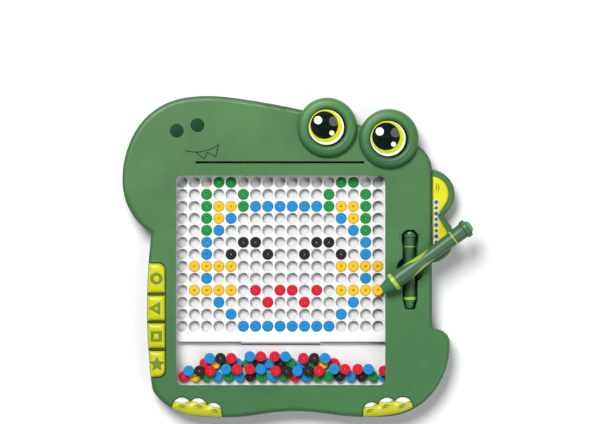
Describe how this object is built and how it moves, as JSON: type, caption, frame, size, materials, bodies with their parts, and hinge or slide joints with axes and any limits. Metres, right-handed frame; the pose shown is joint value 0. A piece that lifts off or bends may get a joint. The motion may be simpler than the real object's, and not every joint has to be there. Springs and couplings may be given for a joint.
{
  "type": "magnetic bead drawing board",
  "caption": "Dinosaur-shaped magnetic bead drawing board: beads with steel pins under a clear screen on a perforated plate, dragged with a magnetic pen.",
  "frame": {"origin": "centre of the whole object's box, on the plane that the rubber feet stand on", "axes": "+Z out of the front face, +Y towards the head's crown, -X towards the snout, +X towards the loose pen's tail"},
  "size_m": [0.2886, 0.265, 0.0375],
  "materials": {
    "case_green": "satin moulded",
    "clear_plastic": "clear polished",
    "white_plastic": "fine satin",
    "eye_label": "printed gloss",
    "dark_green": "satin",
    "spine_yellow": "satin",
    "well_green": "satin",
    "foot_rubber": "matt",
    "steel": "bright",
    "eye_green": "satin moulded",
    "tile_lime": "satin",
    "foot_lime": "satin",
    "nail_white": "gloss",
    "pen_tip_green": "satin",
    "pen_lime": "satin",
    "pen_green": "satin",
    "button_green": "gloss",
    "bead_green": "gloss",
    "bead_yellow": "gloss",
    "bead_blue": "gloss",
    "bead_black": "gloss",
    "bead_red": "gloss"
  },
  "bodies": {
    "root": {"back_cover": "case_green", "bead_tray": "white_plastic", "case_screws": "steel", "clear_screen": "clear_plastic", "eye_dome_left": "eye_green", "eye_dome_right": "eye_green", "eye_labels": "eye_label", "eye_screws": "steel", "foot_left": "foot_lime", "foot_right": "foot_lime", "front_frame": "case_green", "grid_plate": "white_plastic", "nostril_inserts": "dark_green", "pen_well": "well_green", "rubber_feet": "foot_rubber", "side_tile_ring": "tile_lime", "side_tile_square": "tile_lime", "side_tile_star": "tile_lime", "side_tile_triangle": "tile_lime", "spine_panel": "spine_yellow", "toe_nails": "nail_white"},
    "dragged_bead": {"dragged_bead": "bead_yellow", "dragged_pin": "steel"},
    "loose_pen": {"pen_tip": "pen_tip_green", "pen_magnet": "steel", "pen_grip_ring": "pen_lime", "pen_sleeve": "pen_green", "pen_core": "pen_lime", "pen_tail_ring": "pen_lime", "pen_cap": "pen_green", "pen_button": "button_green"},
    "spare_pen": {"spare_pen_tip": "pen_tip_green", "spare_pen_magnet": "steel", "spare_pen_grip_ring": "pen_lime", "spare_pen_sleeve": "pen_green", "spare_pen_core": "pen_lime", "spare_pen_tail_ring": "pen_lime", "spare_pen_cap": "pen_green", "spare_pen_button": "button_green"},
    "bead_store": {"store_beads_green": "bead_green", "store_beads_yellow": "bead_yellow", "store_beads_blue": "bead_blue", "store_beads_black": "bead_black", "store_beads_red": "bead_red", "store_pins": "steel"},
    "green_beads": {"grid_beads_green": "bead_green", "grid_pins_green": "steel"},
    "yellow_beads": {"grid_beads_yellow": "bead_yellow", "grid_pins_yellow": "steel"},
    "blue_beads": {"grid_beads_blue": "bead_blue", "grid_pins_blue": "steel"},
    "black_beads": {"grid_beads_black": "bead_black", "grid_pins_black": "steel"},
    "red_beads": {"grid_beads_red": "bead_red", "grid_pins_red": "steel"}
  },
  "joints": [
    {"name": "bead_drag", "type": "slide", "parent": "root", "child": "dragged_bead", "axis": [-1, 0, 0], "range_m": [0, 0.1616]},
    {"name": "pen_lift", "type": "slide", "parent": "dragged_bead", "child": "loose_pen", "axis": [0, 0, 1], "range_m": [0, 0.06]},
    {"name": "spare_pen_lift", "type": "slide", "parent": "root", "child": "spare_pen", "axis": [0, 0, 1], "range_m": [0, 0.03]},
    {"name": "green_beads_lift", "type": "slide", "parent": "root", "child": "green_beads", "axis": [0, 0, 1], "range_m": [0, 0.0051]},
    {"name": "yellow_beads_lift", "type": "slide", "parent": "root", "child": "yellow_beads", "axis": [0, 0, 1], "range_m": [0, 0.0051]},
    {"name": "blue_beads_lift", "type": "slide", "parent": "root", "child": "blue_beads", "axis": [0, 0, 1], "range_m": [0, 0.0051]},
    {"name": "black_beads_lift", "type": "slide", "parent": "root", "child": "black_beads", "axis": [0, 0, 1], "range_m": [0, 0.0051]},
    {"name": "red_beads_lift", "type": "slide", "parent": "root", "child": "red_beads", "axis": [0, 0, 1], "range_m": [0, 0.0051]},
    {"name": "store_slide", "type": "slide", "parent": "root", "child": "bead_store", "axis": [0, -1, 0], "range_m": [0, 0.005]}
  ],
  "couplings": [
    {"joint": "spare_pen_lift", "follows": "pen_lift", "ratio": 0.5}
  ]
}
